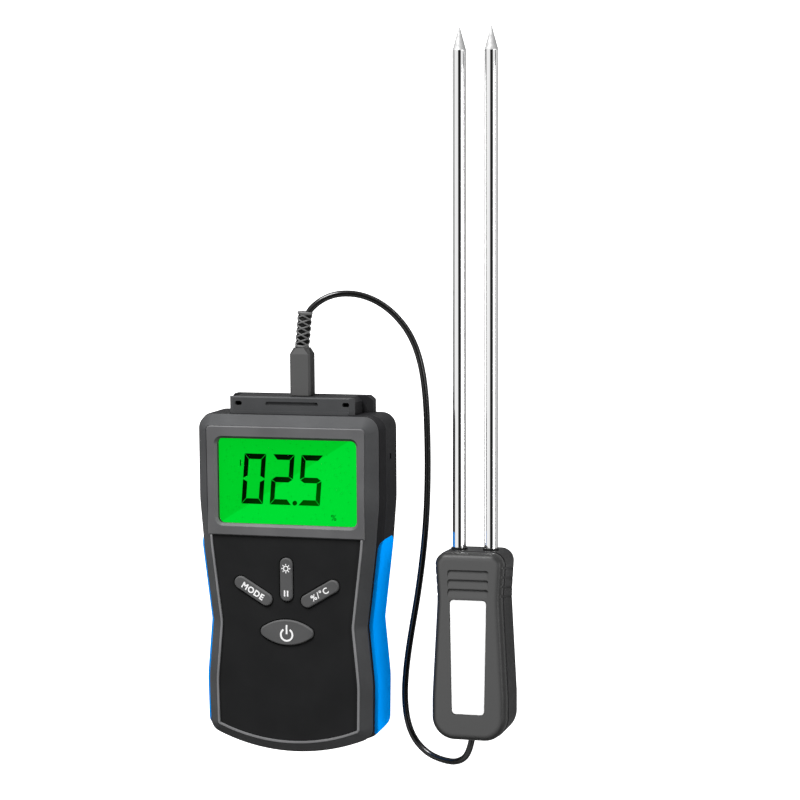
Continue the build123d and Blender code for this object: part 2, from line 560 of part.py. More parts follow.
def jack_socket():
    body = block((JACK_X - 5.5, JACK_X + 5.5), JACK_BODY_Y, (JACK_Z - 5, JACK_Z + 5))
    body += rod(JACK_X, JACK_Z, COLLAR_RADIUS, JACK_BODY_Y[1], PORT_TOP_Y)
    return body - rod(JACK_X, JACK_Z, JACK_RADIUS + JACK_RUNNING_GAP, JACK_TIP_Y - 1.5, PORT_TOP_Y)


def socket_tags():
    """Solder tags at the inner end of the jack."""
    across = (JACK_X - 1.1, JACK_X + 1.1)
    return group(block(across, (TAG_END_Y, JACK_BODY_Y[0]), (z - 0.25, z + 0.25)) for z in TAG_HEIGHTS)


def socket_wires():
    """Two wires from the outer tags to the board."""
    wires = []
    for side, z in ((-1, TAG_HEIGHTS[0]), (1, TAG_HEIGHTS[2])):
        near, far = JACK_X + 0.6 * side, JACK_X + SOCKET_WIRE_X * side
        points = [(near, TAG_END_Y, z), (near, TAG_END_Y - 2.6, z), (far, SOCKET_WIRE_Y, z),
                  (far, SOCKET_WIRE_Y, BOARD_LOW_Z)]
        wires.append(tube(points, WIRE_DIAMETER, [2.2, 2.2]))
    return group(wires)


# ---------------------------------------------------------------- plug and lead

def plug_sleeve():
    return rod(JACK_X, JACK_Z, JACK_RADIUS, JACK_TIP_Y + 4.6, PLUG_BASE_Y)


def plug_insulator():
    return rod(JACK_X, JACK_Z, JACK_RADIUS, JACK_TIP_Y + 3.8, JACK_TIP_Y + 4.6)


def plug_tip():
    """Pointed contact with a waist, turned about the plug's axis."""
    y = JACK_TIP_Y
    r = JACK_RADIUS
    profile = Polyline((0, y), (0.5, y), (r, y + 1.2), (r, y + 1.8), (1.2, y + 2.4), (r, y + 3.2),
                       (r, y + 3.8), (0, y + 3.8), (0, y))
    return Pos(JACK_X, 0, JACK_Z) * revolve(make_face(profile), Axis.Y)


def plug_body():
    """Moulded body with bevelled edges, narrowing to the strain relief."""
    section = chamfer(Rectangle(PLUG_WIDTH, PLUG_DEPTH).vertices(), PLUG_EDGE)
    neck = chamfer(Rectangle(PLUG_NECK_WIDTH, PLUG_NECK_DEPTH).vertices(), PLUG_NECK_EDGE)
    end_on = Rot(-90, 0, 0)
    lower = Pos(JACK_X, PLUG_BASE_Y, JACK_Z) * end_on * extrude(section, PLUG_SHOULDER_Y - PLUG_BASE_Y)
    shoulder = loft([section, Pos(0, 0, PLUG_TOP_Y - PLUG_SHOULDER_Y) * neck])
    return lower + Pos(JACK_X, PLUG_SHOULDER_Y, JACK_Z) * end_on * shoulder


def strain_relief():
    """Leaning sleeve with slots across it in turn, a thicker foot and a cap, bored for the lead."""
    cap_low = BOOT_LENGTH - BOOT_CAP_LENGTH
    profile = Polyline((0, 0), (BOOT_FOOT_RADIUS, 0), (BOOT_RADIUS, BOOT_FOOT_LENGTH),
                       (BOOT_RADIUS, cap_low), (BOOT_CAP_RADIUS, cap_low + 0.6),
                       (BOOT_CAP_RADIUS, BOOT_LENGTH), (0, BOOT_LENGTH), (0, 0))
    sleeve = revolve(make_face(profile), Axis.Y)
    pitch = (cap_low - BOOT_FOOT_LENGTH) / BOOT_SLOTS
    for step in range(BOOT_SLOTS):
        middle = BOOT_FOOT_LENGTH + (step + 0.5) * pitch
        for side in (-1, 1):
            low, high = sorted((side * 2.0, side * 5.0))
            slot = block((-5, 5), (middle - 0.6, middle + 0.6), (low, high))
            if step % 2:
                slot = block((low, high), (middle - 0.6, middle + 0.6), (-5, 5))
            sleeve -= slot
    placed = Pos(JACK_X, PLUG_TOP_Y, JACK_Z) * Rot(0, 0, -BOOT_LEAN) * sleeve
    return placed - plug_body() - lead_cord()


def lead_radii():
    """Bend radius at each corner of the route: 0.45 of the shorter run over the tangent of half the turn."""
    radii = []
    points = [Vector(*point) for point in LEAD_ROUTE]
    for before, corner, after in zip(points, points[1:], points[2:]):
        turn = (corner - before).get_angle(after - corner)
        shorter = min((corner - before).length, (after - corner).length)
        radii.append(0.45 * shorter / tan(radians(turn) / 2))
    return radii


def lead_cord():
    return tube(LEAD_ROUTE, LEAD_DIAMETER, lead_radii())


# ---------------------------------------------------------------- probe

def handle_outline(inset=0.0):
    right = [
        (HANDLE_TOP_HALF, 0), (HANDLE_WAIST_HALF, HANDLE_WAIST_Y),
        (HANDLE_LOW_HALF, HANDLE_HIP_Y), (HANDLE_LOW_HALF, -HANDLE_LENGTH),
    ]
    foot = Line((HANDLE_LOW_HALF, -HANDLE_LENGTH), (-HANDLE_LOW_HALF, -HANDLE_LENGTH))
    corners = both_sides([
        (HANDLE_TOP_HALF, 0, HANDLE_TOP_CORNER), (HANDLE_WAIST_HALF, HANDLE_WAIST_Y, HANDLE_BEND),
        (HANDLE_LOW_HALF, HANDLE_HIP_Y, HANDLE_BEND), (HANDLE_LOW_HALF, -HANDLE_LENGTH, HANDLE_LOW_CORNER),
    ])
    outline = rounded(mirrored_outline(right, foot), corners)
    if inset:
        outline = offset(outline, -inset, kind=Kind.INTERSECTION)
    return outline


def side_grooves():
    """Slanted cutters for the four grooves down each side of the handle."""
    skin = slab(handle_outline(-1.0) - handle_outline(0.8), 3, HANDLE_FRONT_Z - 1.5)
    cutters = []
    for step in range(4):
        middle_y = -8.5 - RIB_PITCH * step
        bar = Box(60, SIDE_GROOVE_WIDTH, 60)
        cutters.append(skin & Pos(0, middle_y, HANDLE_FRONT_Z / 2) * Rot(-SIDE_GROOVE_SLANT, 0, 0) * bar)
    return cutters


def handle_tub():
    """Deep back half of the handle, with a collar round each electrode."""
    body = slab(handle_outline(), 0, TUB_TOP_Z)
    body = fillet(body.faces().sort_by(Axis.Z)[0].outer_wire().edges(), HANDLE_ROUND)
    body = fillet(body.faces().sort_by(Axis.Z)[-1].outer_wire().edges(), TUB_EDGE)
    for x in (-ROD_SPACING / 2, ROD_SPACING / 2):
        body += rod(x, ROD_Z, ROD_COLLAR_RADIUS, -1, ROD_COLLAR)
    body -= slab(handle_outline(TUB_WALL), TUB_WALL, TUB_TOP_Z)
    for cutter in side_grooves():
        body -= cutter
    for x in (-ROD_SPACING / 2, ROD_SPACING / 2):
        body -= rod(x, ROD_Z, SHANK_RADIUS, -6, ROD_COLLAR)
    body -= rod(GROMMET_X, ROD_Z, GROMMET_RADIUS, -HANDLE_LENGTH - 1, -HANDLE_LENGTH + 6)
    for x, y in HANDLE_SCREWS:
        body += post(x, y, 3.6, TUB_WALL - 1, 13.9)
        body -= post(x, y, 2.9, -1, 3.6)
        body -= post(x, y, 1.4, 3.6, 13.9)
    return body


def label_shape(grow=0.0):
    """Blank label, a little narrower at its lower end."""
    top, low = LABEL_TOP_WIDTH / 2 + grow, LABEL_LOW_WIDTH / 2 + grow
    high_y, low_y = LABEL_TOP_Y + grow, LABEL_TOP_Y - LABEL_LENGTH - grow
    outline = make_face(Polyline((-top, high_y), (top, high_y), (low, low_y), (-low, low_y), (-top, high_y)))
    return fillet(outline.vertices(), LABEL_CORNER)


def grip_ribs():
    """Three shallow scoops across the cover, each deepest at its upper edge."""
    solids = []
    for step in range(3):
        y = -8.0 - RIB_PITCH * step
        length = RIB_PITCH - 0.5
        outline = Pos(0, y - length / 2) * RectangleRounded(RIB_WIDTH, length, 1.2)
        profile = Polyline((y, HANDLE_FRONT_Z - RIB_DEPTH), (y, HANDLE_FRONT_Z + 1),
                           (y - length, HANDLE_FRONT_Z + 1), (y - length, HANDLE_FRONT_Z),
                           (y, HANDLE_FRONT_Z - RIB_DEPTH))
        wedge = Pos(-RIB_WIDTH, 0, 0) * extrude(Plane.YZ * make_face(profile), 2 * RIB_WIDTH)
        solids.append(wedge & slab(outline, HANDLE_FRONT_Z - 2, HANDLE_FRONT_Z + 1))
    return solids


def handle_cover():
    """Front cover as wide as the handle, set off by a groove, with the grip ribs and the label's recess."""
    body = slab(handle_outline(COVER_INSET), COVER_LOW_Z, HANDLE_FRONT_Z)
    body = fillet(body.faces().sort_by(Axis.Z)[-1].outer_wire().edges(), COVER_ROUND)
    body += slab(handle_outline(SEAM_INSET), TUB_TOP_Z, COVER_LOW_Z)
    body += slab(handle_outline(SPIGOT_INSET), SPIGOT_LOW_Z, TUB_TOP_Z)
    body -= slab(handle_outline(SPIGOT_INSET + SPIGOT_WALL), SPIGOT_LOW_Z, HANDLE_FRONT_Z - 2.4)
    for cutter in grip_ribs() + side_grooves():
        body -= cutter
    body -= slab(label_shape(0.25), HANDLE_FRONT_Z - LABEL_DROP, HANDLE_FRONT_Z)
    for x, y in HANDLE_SCREWS:
        body += post(x, y, 3.0, 14.0, HANDLE_FRONT_Z - 2.0)
        body -= post(x, y, 1.25, 14.0, HANDLE_SCREW_TIP_Z + 0.5)
    return body


def handle_label():
    low = HANDLE_FRONT_Z - LABEL_DROP
    return slab(label_shape(), low, low + LABEL_THICK)


def electrode(side):
    """Round rod with a thinner shank inside the handle, a pointed end and a hole in its inner end."""
    tip_y = ROD_REACH + ROD_POINT
    profile = Polyline((0, ROD_INNER_Y), (SHANK_RADIUS, ROD_INNER_Y), (SHANK_RADIUS, SHANK_END_Y),
                       (ROD_RADIUS, SHANK_END_Y), (ROD_RADIUS, ROD_REACH),
                       (ROD_TIP_RADIUS, tip_y), (0, tip_y), (0, ROD_INNER_Y))
    body = Pos(side * ROD_SPACING / 2, 0, ROD_Z) * revolve(make_face(profile), Axis.Y)
    return body - rod(side * ROD_SPACING / 2, ROD_Z, LUG_BORE, ROD_INNER_Y, ROD_INNER_Y + 9)


def electrode_block():
    """Insulating block that holds the two rods."""
    body = block((-BLOCK_HALF, BLOCK_HALF), (BLOCK_LOW_Y, BLOCK_HIGH_Y), (TUB_WALL, BLOCK_HIGH_Z))
    body = chamfer(body.edges().filter_by(Axis.Y), 1.5)
    for side in (-1, 1):
        body -= rod(side * ROD_SPACING / 2, ROD_Z, SHANK_RADIUS, BLOCK_LOW_Y, BLOCK_HIGH_Y)
    return body


def ring_lugs():
    """Solder lug on the inner end of each rod."""
    solids = []
    for side in (-1, 1):
        x = side * ROD_SPACING / 2
        ring = rod(x, ROD_Z, 3.0, ROD_INNER_Y - LUG_THICK, ROD_INNER_Y)
        tail = block((x - 1.2, x + 1.2), (ROD_INNER_Y - LUG_THICK, ROD_INNER_Y), (LUG_TAIL_Z - 1.2, ROD_Z))
        solids.append(ring + tail - rod(x, ROD_Z, LUG_BORE, ROD_INNER_Y - 1, ROD_INNER_Y))
    return group(solids)


def lug_screws():
    solids = []
    seat = ROD_INNER_Y - LUG_THICK
    for side in (-1, 1):
        x = side * ROD_SPACING / 2
        head = rod(x, ROD_Z, 2.7, seat - 2, seat)
        slot = block((x - 3, x + 3), (seat - 3, seat - 1.2), (ROD_Z - 0.4, ROD_Z + 0.4))
        solids.append(head + rod(x, ROD_Z, LUG_BORE, seat, ROD_INNER_Y + 7) - slot)
    return group(solids)


def handle_wires():
    """Two insulated wires from the lugs to the inner end of the lead."""
    wires = []
    start_y = ROD_INNER_Y - LUG_THICK
    for side in (-1, 1):
        x = side * ROD_SPACING / 2
        end_x = GROMMET_X + 0.7 * side
        points = [(x, start_y, LUG_TAIL_Z), (x, start_y - 9, LUG_TAIL_Z), (end_x + 2.6 * side, -56, 10.5),
                  (end_x, -66, ROD_Z), (end_x, TAIL_INNER_Y, ROD_Z)]
        wires.append(tube(points, WIRE_DIAMETER, [6, 8, 6]))
    return group(wires)


def lead_tail():
    """End of the lead's jacket inside the handle."""
    return rod(GROMMET_X, ROD_Z, LEAD_DIAMETER / 2, -HANDLE_LENGTH - GROMMET_COLLAR, TAIL_INNER_Y)


def cord_grommet():
    """Rubber bush in the handle's end wall, with a collar on each side."""
    low = -HANDLE_LENGTH
    body = rod(GROMMET_X, ROD_Z, GROMMET_RADIUS, low, low + TUB_WALL)
    body += rod(GROMMET_X, ROD_Z, GROMMET_RADIUS + 1, low - GROMMET_COLLAR, low)
    body += rod(GROMMET_X, ROD_Z, GROMMET_RADIUS + 1, low + TUB_WALL, low + TUB_WALL + 1.2)
    return body - rod(GROMMET_X, ROD_Z, LEAD_DIAMETER / 2, low - 2, low + 6)


def cable_clamp():
    """Saddle that grips the lead's jacket, held to the tub."""
    y = (-82.0, -77.0)
    body = block((GROMMET_X - 5, GROMMET_X + 5), y, (TUB_WALL, ROD_Z + 3.5))
    body = fillet(body.faces().sort_by(Axis.Z)[-1].edges().filter_by(Axis.Y), 2.5)
    return body - rod(GROMMET_X, ROD_Z, LEAD_DIAMETER / 2, *y)


def handle_screws():
    return group(
        screw(x, y, 2.6, 1.3, 3.6, 1.25, HANDLE_SCREW_TIP_Z) for x, y in HANDLE_SCREWS
    )


# ---------------------------------------------------------------- everything, by node name

def meter_nodes():
    nodes = {
        "front_shell": front_shell(),
        "back_shell": back_shell(),
        "display_bezel": display_bezel(),
        "window_lens": window_lens(),
        "display_panel": display_panel(),
        "display_backlight": display_backlight(),
        "contact_strips": contact_strips(),
        "keypad_lip": keypad_lip(),
        "keypad_panel": keypad_panel(),
        "main_board": main_board(),
        "tact_switches": tact_switches(),
        "controller_chip": controller_chip(),
        "board_components": board_components(),
        "board_screws": board_screws(),
        "case_screws": case_screws(),
        "port_plate": port_plate(),
        "jack_socket": jack_socket(),
        "socket_tags": socket_tags(),
        "socket_wires": socket_wires(),
        "grip_left": grip(-1),
        "grip_right": grip(1),
        "battery": battery(),
        "battery_snap": battery_snap(),
        "battery_leads": battery_leads(),
        "battery_cover": battery_cover(),
    }
    for name in key_shapes():
        nodes[name] = key(name)
    return nodes


def lead_nodes():
    return {
        "plug_sleeve": plug_sleeve(),
        "plug_insulator": plug_insulator(),
        "plug_tip": plug_tip(),
        "plug_body": plug_body(),
        "strain_relief": strain_relief(),
        "lead_cord": lead_cord(),
    }


def probe_nodes():
    nodes = {
        "handle_tub": handle_tub(),
        "handle_cover": handle_cover(),
        "handle_label": handle_label(),
        "electrode_left": electrode(-1),
        "electrode_right": electrode(1),
        "electrode_block": electrode_block(),
        "ring_lugs": ring_lugs(),
        "lug_screws": lug_screws(),
        "handle_wires": handle_wires(),
        "lead_tail": lead_tail(),
        "cord_grommet": cord_grommet(),
        "cable_clamp": cable_clamp(),
        "handle_screws": handle_screws(),
    }
    return {name: PROBE_PLACE * shape for name, shape in nodes.items()}


os.makedirs("parts", exist_ok=True)
for name, shape in {**meter_nodes(), **lead_nodes(), **probe_nodes()}.items():
    export_step(shape, f"parts/{name}.step")

route_length = FilletPolyline(*LEAD_ROUTE, radius=lead_radii()).length
print("lead radii", [round(radius, 1) for radius in lead_radii()])
print("lead length", round(route_length, 1), "section times length",
      round(pi * LEAD_DIAMETER ** 2 / 4 * route_length), "volume", round(lead_cord().volume))
print("probe tilt", round(degrees(PROBE_TILT), 3))
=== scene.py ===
import json
from math import cos, pi, radians, sin, tan

import bpy
from mathutils import Matrix, Vector


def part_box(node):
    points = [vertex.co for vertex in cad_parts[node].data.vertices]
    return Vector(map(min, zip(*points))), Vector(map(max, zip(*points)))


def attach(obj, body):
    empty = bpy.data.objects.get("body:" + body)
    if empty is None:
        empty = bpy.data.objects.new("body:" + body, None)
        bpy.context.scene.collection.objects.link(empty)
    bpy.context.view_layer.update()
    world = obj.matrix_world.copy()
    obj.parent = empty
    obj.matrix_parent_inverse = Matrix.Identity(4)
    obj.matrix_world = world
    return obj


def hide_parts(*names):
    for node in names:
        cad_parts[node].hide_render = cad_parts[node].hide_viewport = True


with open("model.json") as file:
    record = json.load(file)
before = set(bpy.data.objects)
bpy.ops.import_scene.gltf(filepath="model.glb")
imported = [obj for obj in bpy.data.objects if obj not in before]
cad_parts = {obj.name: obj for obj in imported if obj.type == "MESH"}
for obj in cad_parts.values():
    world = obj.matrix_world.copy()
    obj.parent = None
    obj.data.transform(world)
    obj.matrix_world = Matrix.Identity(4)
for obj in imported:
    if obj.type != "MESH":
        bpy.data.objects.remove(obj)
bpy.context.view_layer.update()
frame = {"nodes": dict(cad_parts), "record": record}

NODES = frame["nodes"]
RECORD = frame["record"]
SCENE = bpy.context.scene


# ---------------------------------------------------------------- camera

YAW, PITCH, ROLL = radians(15.11), radians(5.72), radians(-0.377)
CAMERA_DISTANCE, CAMERA_TARGET = 0.92, Vector((0.05598, 0.0855, 0.033))
LENS_MM, SENSOR_MM = 90.0, 36.0


def camera_axes():
    """Right, up and back of the camera."""
    back = Vector((sin(YAW) * cos(PITCH), sin(PITCH), cos(YAW) * cos(PITCH)))
    level = Vector((0, 1, 0)).cross(back).normalized()
    upright = back.cross(level)
    right = cos(ROLL) * level + sin(ROLL) * upright
    return right, cos(ROLL) * upright - sin(ROLL) * level, back


def make_camera():
    data = bpy.data.cameras.new("camera")
    data.lens, data.sensor_width = LENS_MM, SENSOR_MM
    data.clip_start, data.clip_end = 0.01, 20.0
    camera = bpy.data.objects.new("camera", data)
    right, up, back = camera_axes()
    turn = Matrix((right, up, back)).transposed().to_4x4()
    camera.matrix_world = Matrix.Translation(CAMERA_TARGET + CAMERA_DISTANCE * back) @ turn
    SCENE.collection.objects.link(camera)
    SCENE.camera = camera


# ---------------------------------------------------------------- materials

class Nodes:
    """A node tree, with short calls for the nodes it needs."""

    def __init__(self, tree):
        self.tree = tree
        tree.nodes.clear()

    def add(self, kind, **settings):
        made = self.tree.nodes.new(kind)
        for name, value in settings.items():
            setattr(made, name, value)
        return made

    def link(self, source, output, target, name):
        self.tree.links.new(source.outputs[output], target.inputs[name])

    def spread(self, source, output, low, high, from_low=0.3, from_high=0.7, **settings):
        """Maps one range, which is a noise's unless it is given, to another."""
        made = self.add("ShaderNodeMapRange", **settings)
        made.inputs["From Min"].default_value = from_low
        made.inputs["From Max"].default_value = from_high
        made.inputs["To Min"].default_value = low
        made.inputs["To Max"].default_value = high
        self.link(source, output, made, "Value")
        return made

    def ramp(self, source, output, stops):
        made = self.add("ShaderNodeValToRGB")
        elements = made.color_ramp.elements
        while len(elements) < len(stops):
            elements.new(0.5)
        for element, (place, colour) in zip(elements, stops):
            element.position = place
            element.color = (*colour, 1.0)
        self.link(source, output, made, "Fac")
        return made

    def dot(self, coords, output, axis):
        """How far a direction or a place reaches along an axis."""
        made = self.add("ShaderNodeVectorMath", operation="DOT_PRODUCT")
        self.link(coords, output, made, 0)
        made.inputs[1].default_value = axis
        return made


class Shader(Nodes):
    """A material's node tree."""

    def __init__(self, name):
        self.name = name
        self.material = bpy.data.materials.new(name)
        self.material.use_nodes = True
        super().__init__(self.material.node_tree)
        self.bsdf = self.add("ShaderNodeBsdfPrincipled")
        self.out = self.add("ShaderNodeOutputMaterial")
        self.link(self.bsdf, "BSDF", self.out, "Surface")
        self.coords = self.add("ShaderNodeTexCoord")

    def set(self, **values):
        for name, value in values.items():
            self.bsdf.inputs[name.replace("_", " ")].default_value = value

    def noise(self, scale, detail=3.0, stretch=None):
        """Noise in the object's own metres, stretched along an axis when asked."""
        made = self.add("ShaderNodeTexNoise")
        made.inputs["Scale"].default_value = scale
        made.inputs["Detail"].default_value = detail
        if stretch:
            mapping = self.add("ShaderNodeMapping")
            mapping.inputs["Scale"].default_value = stretch
            self.link(self.coords, "Object", mapping, "Vector")
            self.link(mapping, "Vector", made, "Vector")
        else:
            self.link(self.coords, "Object", made, "Vector")
        return made

    def bump(self, height, strength, distance):
        made = self.add("ShaderNodeBump")
        made.inputs["Strength"].default_value = strength
        made.inputs["Distance"].default_value = distance
        self.link(height, "Fac", made, "Height")
        self.link(made, "Normal", self.bsdf, "Normal")


def grey(level):
    return (level, level, level)


def shade(colour, factor):
    return tuple(min(1.0, channel * factor) for channel in colour)


def moulded(name, colour, rough=0.5, grain=2600.0, depth=0.00003, mottle=0.12, specular=0.3):
    """Moulded plastic or rubber: fine grain, and a slow change of colour and gloss."""
    s = Shader(name)
    broad = s.noise(55.0, 4.0)
    tone = s.ramp(broad, "Fac", [(0.3, shade(colour, 1 - mottle)), (0.7, shade(colour, 1 + mottle))])
    s.link(tone, "Color", s.bsdf, "Base Color")
    fine = s.noise(grain, 2.0)
    s.link(s.spread(fine, "Fac", rough - 0.06, rough + 0.08), "Result", s.bsdf, "Roughness")
    s.bump(fine, 0.6, depth)
    s.set(Specular_IOR_Level=specular)
    return s


# Noise that is drawn out into lines along Y
DRAWN_LINES = (900.0, 6.0, 900.0)


def polished(name, colour, rough):
    """Ground and polished metal with faint lines along it."""
    s = Shader(name)
    s.set(Metallic=1.0)
    drawn = s.noise(1.0, 3.0, DRAWN_LINES)
    tone = s.ramp(drawn, "Fac", [(0.3, shade(colour, 0.96)), (0.7, colour)])
    s.link(tone, "Color", s.bsdf, "Base Color")
    s.link(s.spread(drawn, "Fac", rough, rough * 1.8), "Result", s.bsdf, "Roughness")
    s.bump(drawn, 0.25, 0.000002)
    return s


def painted_side_shade(name, edge, face, rough, specular, start, end):
    """Dark moulding with painted shade: the faces that turn away from +Z are darkened towards the edge
    grey.
    """
    s = moulded(name, grey(face), rough, specular=specular)
    split = s.add("ShaderNodeSeparateXYZ")
    s.link(s.coords, "Normal", split, "Vector")
    painted_shade_blend = s.spread(split, "Z", 0.0, 1.0, start, end)
    # edge is the painted shade on faces turned away from +Z, face the grey of the faces that look up
    tone = s.ramp(painted_shade_blend, "Result", [(0.0, grey(edge)), (1.0, grey(face))])
    s.link(tone, "Color", s.bsdf, "Base Color")
    return s


POINT_LENGTH, POINT_EDGE = 0.011, 0.0003


def electrode_steel():
    """Polished rods with points that are left as ground."""
    s = Shader("electrode_steel")
    point_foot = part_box("electrode_left")[1].y - POINT_LENGTH
    split = s.add("ShaderNodeSeparateXYZ")
    s.link(s.coords, "Object", split, "Vector")
    ground = s.spread(split, "Y", 0.0, 1.0, point_foot - POINT_EDGE, point_foot + POINT_EDGE)
    drawn = s.noise(1.0, 3.0, DRAWN_LINES)
    rough = s.add("ShaderNodeMix", data_type="FLOAT")
    s.link(ground, "Result", rough, "Factor")
    s.link(s.spread(drawn, "Fac", 0.02, 0.03), "Result", rough, "A")
    s.link(s.spread(s.noise(700.0, 4.0), "Fac", 0.6, 0.85), "Result", rough, "B")
    s.link(rough, "Result", s.bsdf, "Roughness")
    tone = s.ramp(ground, "Result", [(0.0, grey(0.95)), (1.0, grey(0.42))])
    s.link(tone, "Color", s.bsdf, "Base Color")
    # The dark grey edge tint is painted shade: it darkens the reflections along the rods' outlines
    s.set(Metallic=1.0, Specular_Tint=(*grey(0.25), 1))
    return s


# Across the display runs a faint slanted edge of painted reflection: brighter below and to the right of
# it
PAINTED_REFLECTION_AXIS = (0.531, -0.846, 0.0)
PAINTED_REFLECTION_PLACE, PAINTED_REFLECTION_EDGE = -0.0392, 0.0003
# Where along the slanted direction the painted reflection lightens the digits' ink
INK_PAINTED_REFLECTION = (-0.043, -0.020)


def slanted(s, start, end):
    """Ramp from 0 to 1 along the slanted direction on the display."""
    return s.spread(s.dot(s.coords, "Object", PAINTED_REFLECTION_AXIS), "Value", 0.0, 1.0, start, end)


def lit_display():
    """Green backlight behind the liquid crystal, with a painted reflection that makes it brighter past
    the slanted edge.
    """
    s = Shader("display_green")
    # Painted reflection: past the slanted edge the backlight's green glows brighter
    side = slanted(s, PAINTED_REFLECTION_PLACE - PAINTED_REFLECTION_EDGE, PAINTED_REFLECTION_PLACE + PAINTED_REFLECTION_EDGE)
    tone = s.ramp(side, "Result", [(0.0, (0.0, 0.585, 0.020)), (1.0, (0.0, 0.69, 0.031))])
    s.link(tone, "Color", s.bsdf, "Emission Color")
    s.set(Base_Color=(0.0, 0.03, 0.002, 1), Emission_Strength=1.0, Specular_IOR_Level=0.0)
    grain = s.noise(1800.0, 2.0)
    s.link(s.spread(grain, "Fac", 0.4, 0.6), "Result", s.bsdf, "Roughness")
    return s


def digit_ink():
    """Black segments, with a painted reflection that lightens them to green towards the lower right."""
    s = Shader("digit_ink")
    # Painted reflection: the ink glows green towards the lower right
    through = slanted(s, *INK_PAINTED_REFLECTION)
    tone = s.ramp(through, "Result", [(0.0, (0.0, 0.003, 0.0)), (1.0, (0.0, 0.088, 0.0))])
    s.link(tone, "Color", s.bsdf, "Emission Color")
    s.set(Base_Color=(0.0, 0.003, 0.0, 1), Emission_Strength=1.0)
    s.set(Specular_IOR_Level=0.0, Roughness=0.5)
    return s


def clear_window():
    """Thin clear plastic, nearly all let through."""
    s = Shader("window_clear")
    s.set(Base_Color=(1, 1, 1, 1), Transmission_Weight=1.0, IOR=1.1, Specular_IOR_Level=0.2)
    smear = s.noise(40.0, 2.0)
    s.link(s.spread(smear, "Fac", 0.04, 0.08), "Result", s.bsdf, "Alpha")
    s.link(s.spread(smear, "Fac", 0.0, 0.002), "Result", s.bsdf, "Roughness")
    return s


def metals():
    return [
        polished("screw_steel", grey(0.55), 0.3),
        polished("contact_metal", (0.78, 0.62, 0.30), 0.15),
        electrode_steel(),
    ]


def casing_plastics():
    return [
        moulded("housing_grey", (0.056, 0.057, 0.059), 0.42, specular=0.05),
        moulded("housing_dark", (0.0150, 0.0150, 0.0160), 0.5, specular=0.03),
        moulded("bezel_grey", (0.110, 0.110, 0.113), 0.38, specular=0.16),
        # A paler copy of the casing grey: painted highlight along the keypad's lip
        moulded("lip_painted_highlight", (0.19, 0.19, 0.195), 0.4, specular=0.3),
        moulded("panel_black", (0.0150, 0.0152, 0.0156), 0.42, grain=4200.0, specular=0.05),
        moulded("grip_blue", (0.0, 0.31, 0.97), 0.6, grain=1800.0, specular=0.0, mottle=0.03),
        moulded("key_rubber", (0.082, 0.082, 0.083), 0.6, specular=0.2),
        moulded("ink_white", grey(0.92), 0.55, mottle=0.02),
    ]


def probe_plastics():
    return [
        # The handle's cover and the plug get painted shade on their sides and rounded edges
        painted_side_shade("handle_dark", 0.022, 0.080, 0.40, 0.20, 0.85, 0.995),
        # A darker copy of the handle's plastic: painted shade on the sides of the handle's deep half
        moulded("tub_painted_shade", (0.009, 0.009, 0.0094), 0.34, specular=0.08),
        moulded("label_white", grey(0.99), 0.5, mottle=0.01, specular=0.3),
        moulded("grommet_rubber", grey(0.014), 0.6),
        moulded("cord_black", grey(0.004), 0.2, grain=900.0, depth=0.00001, specular=0.5),
        painted_side_shade("plug_black", 0.012, 0.078, 0.5, 0.15, 0.4, 0.95),
        # One rubber in two copies: the sleeve's much darker copy is painted shade in the hollows between
        # the paler ridges
        moulded("boot_dark", grey(0.006), 0.6, specular=0.05),
        moulded("boot_ridge", grey(0.11), 0.5, specular=0.2),
    ]


def inner_plastics():
    return [
        moulded("black_plastic", grey(0.012), 0.5),
        moulded("contact_rubber", (0.5, 0.25, 0.36), 0.7),
        moulded("board", (0.01, 0.13, 0.05), 0.4),
        moulded("board_parts", grey(0.03), 0.5),
        moulded("wire_insulation", (0.4, 0.015, 0.015), 0.4),
        moulded("backlight", (0.8, 0.85, 0.8), 0.5, mottle=0.02),
        moulded("battery_jacket", (0.03, 0.04, 0.07), 0.3, specular=0.5),
    ]


def make_materials():
    display = [lit_display(), digit_ink(), clear_window()]
    made = casing_plastics() + probe_plastics() + inner_plastics() + metals() + display
    return {shader.name: shader.material for shader in made}


# Nodes with a finish of their own: the handle's deep half is a darker copy of its cover's plastic,
# painted shade on its sides, and the keypad's lip is paler than the bezel, a painted highlight along its
# rim
OWN_MATERIALS = {"handle_tub": "tub_painted_shade", "keypad_lip": "lip_painted_highlight"}


def dress_nodes(materials):
    """Gives each CAD node the material of its slot."""
    for row in RECORD["subparts"]:
        data = NODES[row["node"]].data
        data.materials.clear()
        data.materials.append(materials[OWN_MATERIALS.get(row["node"], row["material_slot"])])


# ---------------------------------------------------------------- mesh building

def add_piece(name, points, faces, material, body, smooth=True):
    """Mesh object from points in metres, riding on a body."""
    data = bpy.data.meshes.new(name)
    data.from_pydata([tuple(point) for point in points], [], faces)
    data.validate()
    data.polygons.foreach_set("use_smooth", [smooth] * len(data.polygons))
    data.materials.append(MATERIALS[material])
    made = bpy.data.objects.new(name, data)
    SCENE.collection.objects.link(made)
    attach(made, body)
    return made


